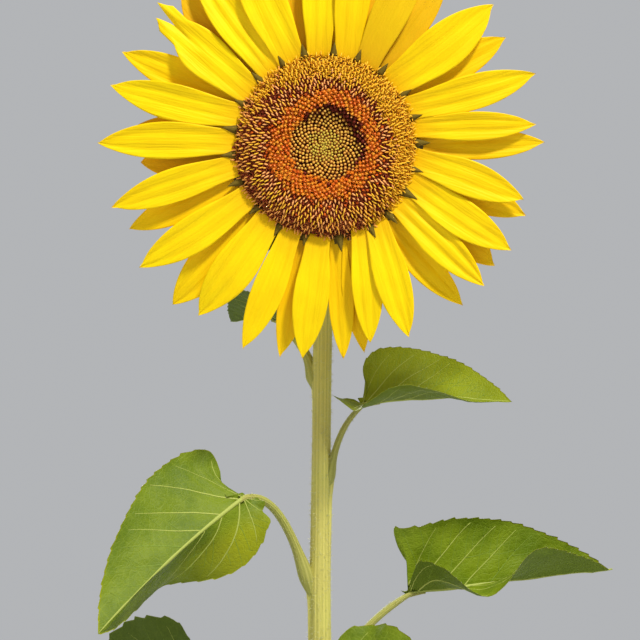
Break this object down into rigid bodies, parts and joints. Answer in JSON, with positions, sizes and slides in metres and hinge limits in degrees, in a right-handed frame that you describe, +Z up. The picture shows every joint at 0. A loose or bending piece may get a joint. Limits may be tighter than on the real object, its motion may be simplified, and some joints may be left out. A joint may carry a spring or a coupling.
{
  "type": "sunflower plant",
  "caption": "Sunflower plant in full bloom, rooted in the ground: upright stem, alternate heart-shaped leaves on petioles, and a forward-facing yellow-rayed flower head.",
  "frame": {"origin": "centre of the stem's flat cut at ground level", "axes": "+Z up the stem, the flower faces -Y, +X to the right as the flower is seen"},
  "size_m": [0.4277, 0.4267, 1.4421],
  "materials": {
    "stem_green": "matt, finely ribbed and hairy",
    "petiole_green": "matt, grooved and hairy",
    "leaf_green": "matt, rough, with pale veins",
    "ray_yellow": "satin, finely pleated",
    "disc_brown": "matt, packed florets",
    "receptacle_green": "matt, hairy",
    "bract_green": "matt, hairy"
  },
  "bodies": {
    "root": {"stem": "stem_green", "petiole_01": "petiole_green", "petiole_02": "petiole_green", "petiole_03": "petiole_green", "petiole_04": "petiole_green", "petiole_05": "petiole_green", "petiole_06": "petiole_green", "petiole_07": "petiole_green", "petiole_08": "petiole_green", "petiole_09": "petiole_green", "petiole_10": "petiole_green", "petiole_11": "petiole_green", "petiole_12": "petiole_green", "petiole_13": "petiole_green", "petiole_14": "petiole_green", "petiole_15": "petiole_green", "petiole_16": "petiole_green", "leaf_blade_01": "leaf_green", "leaf_blade_02": "leaf_green", "leaf_blade_03": "leaf_green", "leaf_blade_04": "leaf_green", "leaf_blade_05": "leaf_green", "leaf_blade_06": "leaf_green", "leaf_blade_07": "leaf_green", "leaf_blade_08": "leaf_green", "leaf_blade_09": "leaf_green", "leaf_blade_10": "leaf_green", "leaf_blade_11": "leaf_green", "leaf_blade_12": "leaf_green", "leaf_blade_13": "leaf_green", "leaf_blade_14": "leaf_green", "leaf_blade_15": "leaf_green", "leaf_blade_16": "leaf_green", "receptacle": "receptacle_green", "bract_ring": "bract_green", "seed_disc": "disc_brown", "ray_front_01": "ray_yellow", "ray_front_02": "ray_yellow", "ray_front_03": "ray_yellow", "ray_front_04": "ray_yellow", "ray_front_05": "ray_yellow", "ray_front_06": "ray_yellow", "ray_front_07": "ray_yellow", "ray_front_08": "ray_yellow", "ray_front_09": "ray_yellow", "ray_front_10": "ray_yellow", "ray_front_11": "ray_yellow", "ray_front_12": "ray_yellow", "ray_front_13": "ray_yellow", "ray_front_14": "ray_yellow", "ray_front_15": "ray_yellow", "ray_front_16": "ray_yellow", "ray_front_17": "ray_yellow", "ray_front_18": "ray_yellow", "ray_front_19": "ray_yellow", "ray_front_20": "ray_yellow", "ray_front_21": "ray_yellow", "ray_back_whorl": "ray_yellow"}
  },
  "joints": []
}
